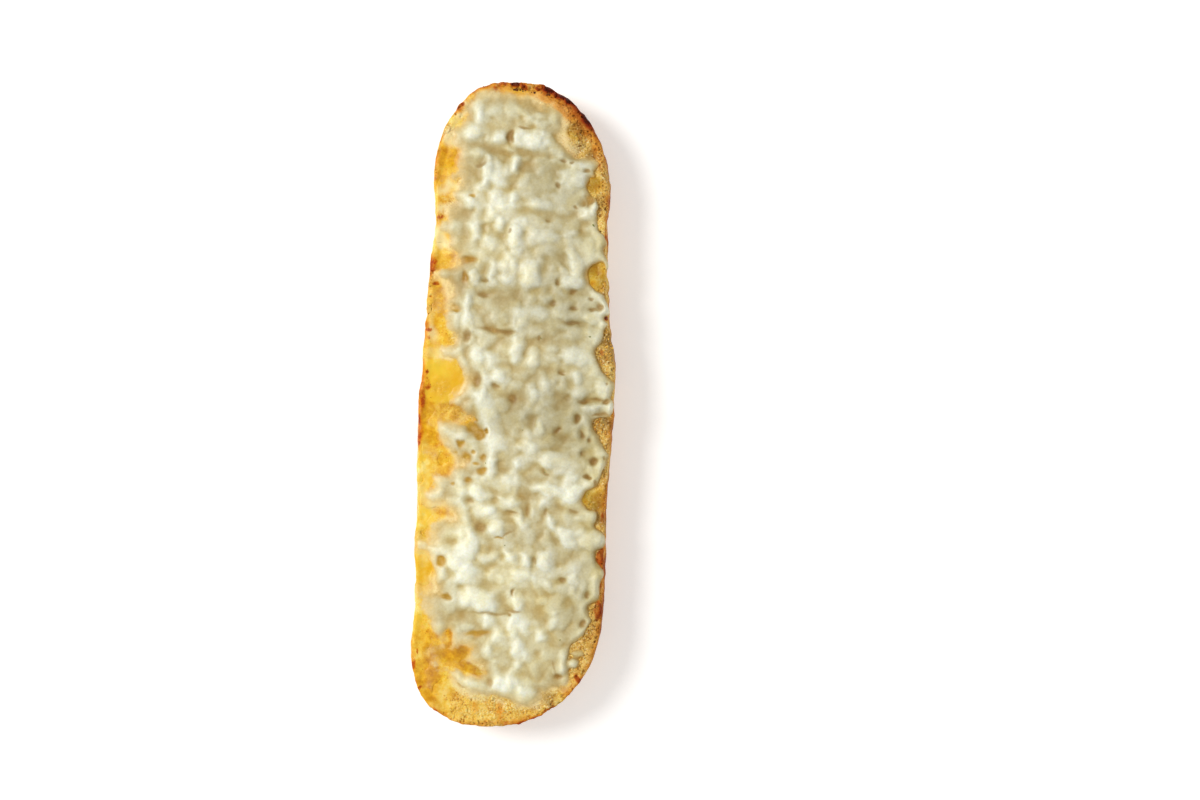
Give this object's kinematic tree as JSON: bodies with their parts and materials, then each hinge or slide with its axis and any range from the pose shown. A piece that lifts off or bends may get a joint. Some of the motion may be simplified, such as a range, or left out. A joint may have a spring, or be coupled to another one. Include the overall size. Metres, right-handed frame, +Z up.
{
  "type": "garlic bread",
  "caption": "Half of a long loaf split lengthwise, cut face up, buttered and baked under a lumpy layer of melted pale cheese, with a toasted rim.",
  "frame": {"origin": "centre of the bounding box, on the flat underside that the half loaf rests on", "axes": "+Y along the loaf towards its narrower end, +Z up out of the cheese-covered cut face, +X across the loaf"},
  "size_m": [0.0886, 0.291, 0.0324],
  "materials": {
    "toasted_bread": "matte baked crust and open crumb, glossier where butter soaked in",
    "melted_cheese": "satin, slightly translucent melted cheese"
  },
  "bodies": {
    "root": {"bread": "toasted_bread", "cheese": "melted_cheese"}
  },
  "joints": []
}
